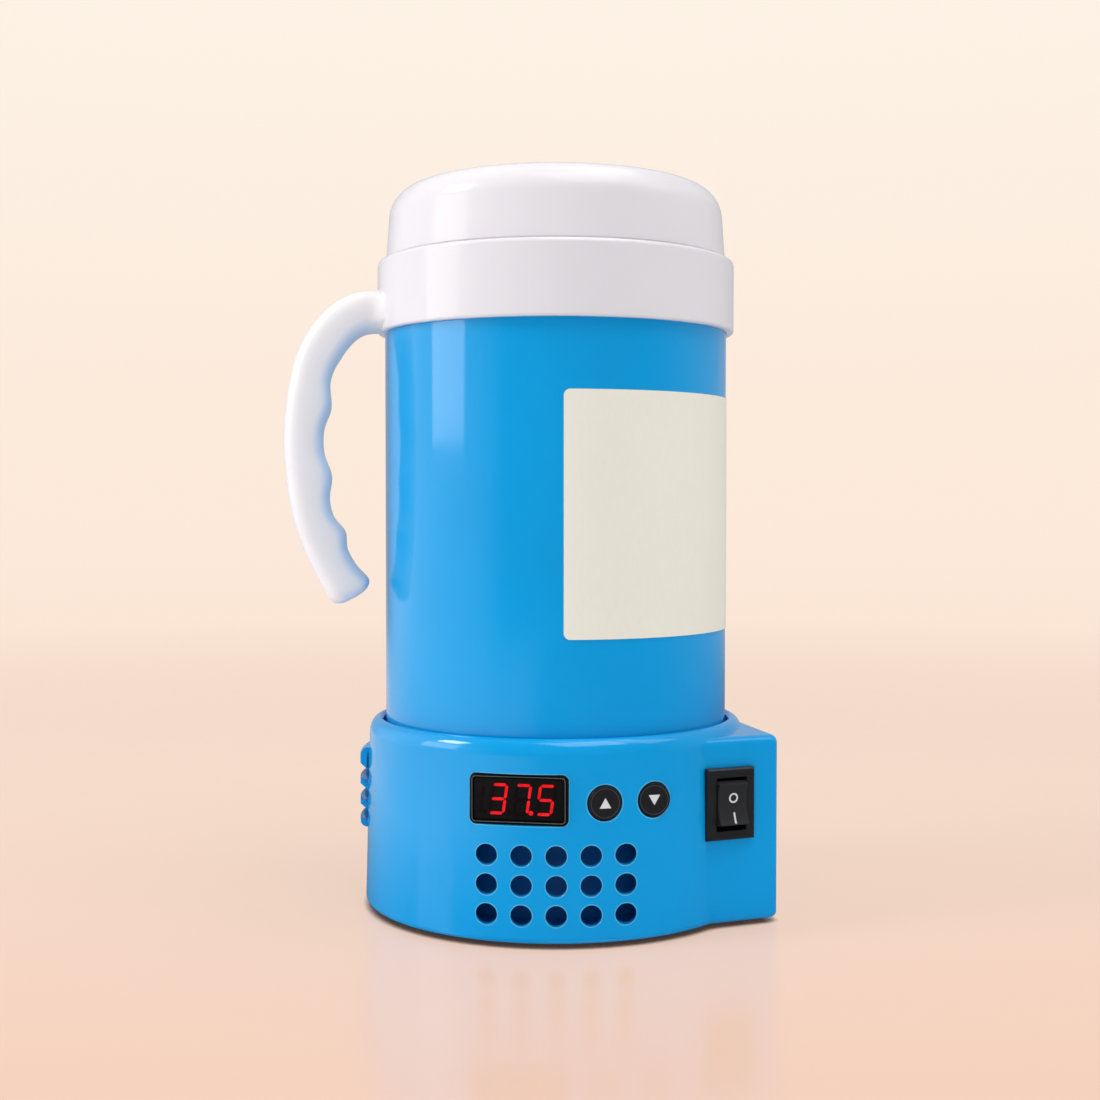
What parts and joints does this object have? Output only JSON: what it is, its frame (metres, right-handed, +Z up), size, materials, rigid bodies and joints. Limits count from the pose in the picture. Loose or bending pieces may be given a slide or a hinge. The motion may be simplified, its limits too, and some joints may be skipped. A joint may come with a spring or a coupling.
{
  "type": "electric heating cup",
  "caption": "Tall insulated cup with a scalloped hook handle, collar and domed screw lid, standing in a round heating base with a digital display, push buttons, rocker switch and vents.",
  "frame": {"origin": "on the table under the cup's axis, in the plane of the rubber foot ring", "axes": "+Z up along the cup's axis, -Y out of the front with the display and vent holes, +X to the right towards the switch block"},
  "size_m": [0.1493, 0.1206, 0.2265],
  "materials": {
    "blue_plastic": "smooth gloss",
    "white_plastic": "smooth gloss",
    "black_plastic": "satin",
    "foot_rubber": "matt",
    "steel": "satin",
    "aluminium": "turned",
    "brass": "plain",
    "silicone": "matt",
    "insulation": "matt",
    "display_face": "gloss",
    "lit_red": "lit",
    "unlit_red": "unlit",
    "circuit_board": "lacquered",
    "winding": "taped",
    "component_dark": "plain",
    "label_cream": "smooth sticker"
  },
  "bodies": {
    "base": {"base_housing": "blue_plastic", "bottom_cover": "black_plastic", "foot_ring": "foot_rubber", "cover_screws": "steel", "side_louvre": "blue_plastic", "heating_plate": "aluminium", "plate_seal": "silicone", "heater_ring": "steel", "heater_pad": "insulation", "heater_clamp": "steel", "clamp_screws": "steel", "temperature_probe": "steel", "thermal_cutoff": "insulation", "display_frame": "black_plastic", "display_module": "display_face", "lit_segments": "lit_red", "dark_segments": "unlit_red", "display_board": "circuit_board", "button_board": "circuit_board", "tact_switches": "black_plastic", "switch_frame": "black_plastic", "switch_terminals": "brass", "power_board": "circuit_board", "board_screws": "steel", "transformer": "winding", "capacitors": "component_dark", "relay": "component_dark", "terminal_block": "component_dark", "power_inlet": "black_plastic", "inlet_pins": "brass"},
    "up_key": {"button_up": "black_plastic"},
    "down_key": {"button_down": "black_plastic"},
    "switch_rocker": {"rocker": "black_plastic"},
    "cup": {"cup_shell": "blue_plastic", "contact_disc": "aluminium", "cup_liner": "steel", "foam_sleeve": "insulation", "collar": "white_plastic", "rim_seal": "silicone", "handle": "white_plastic", "handle_screws": "steel", "label_panel": "label_cream"},
    "lid": {"lid_dome": "white_plastic", "lid_plug": "white_plastic", "lid_gasket": "silicone"}
  },
  "joints": [
    {"name": "cup_lift", "type": "slide", "parent": "base", "child": "cup", "axis": [0, 0, 1], "range_m": [0, 0.08]},
    {"name": "lid_lift", "type": "slide", "parent": "cup", "child": "lid", "axis": [0, 0, 1], "range_m": [0, 0.06]},
    {"name": "up_press", "type": "slide", "parent": "base", "child": "up_key", "axis": [-0.2419, 0.9703, 0], "range_m": [0, 0.0008], "stiffness_N_per_m": 400},
    {"name": "down_press", "type": "slide", "parent": "base", "child": "down_key", "axis": [-0.2419, 0.9703, 0], "range_m": [0, 0.0008], "stiffness_N_per_m": 400},
    {"name": "rocker_turn", "type": "hinge", "parent": "base", "child": "switch_rocker", "pos_m": [0.04872, -0.03155, 0.0367], "axis": [0.9272, 0.3746, 0], "range_deg": [0, 10]}
  ]
}
